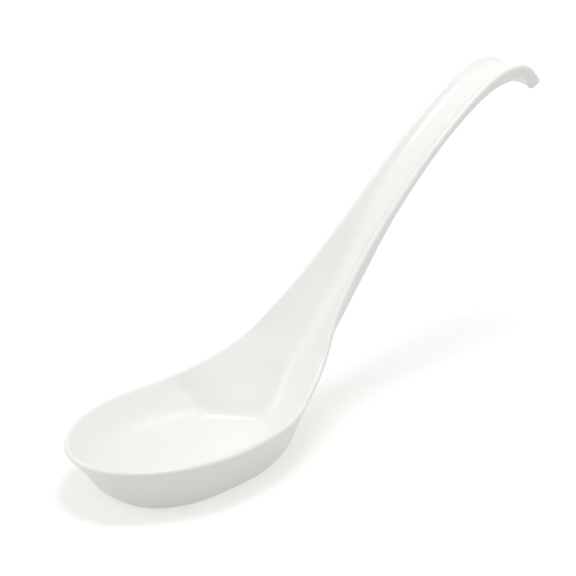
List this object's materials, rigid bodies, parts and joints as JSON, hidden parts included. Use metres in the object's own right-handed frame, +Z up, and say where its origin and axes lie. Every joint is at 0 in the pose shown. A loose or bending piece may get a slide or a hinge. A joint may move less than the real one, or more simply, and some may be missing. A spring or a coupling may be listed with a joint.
{
  "type": "chinese soup spoon",
  "caption": "Flat-footed oval soup spoon with a steep V-shaped throat, a dished handle that rises at an angle and a downturned hook with a rounded tip that hangs it on a rim.",
  "frame": {"origin": "On the plane that the flat foot rests on, straight under the widest place of the bowl, in the mirror plane of the spoon", "axes": "+X runs from the bowl towards the handle and the hook, +Y points to the left of a viewer who looks along +X, +Z is up"},
  "size_m": [0.1595, 0.0444, 0.0751],
  "materials": {
    "shell": "gloss"
  },
  "bodies": {
    "root": {"bowl": "shell", "handle": "shell", "hook": "shell"}
  },
  "joints": []
}
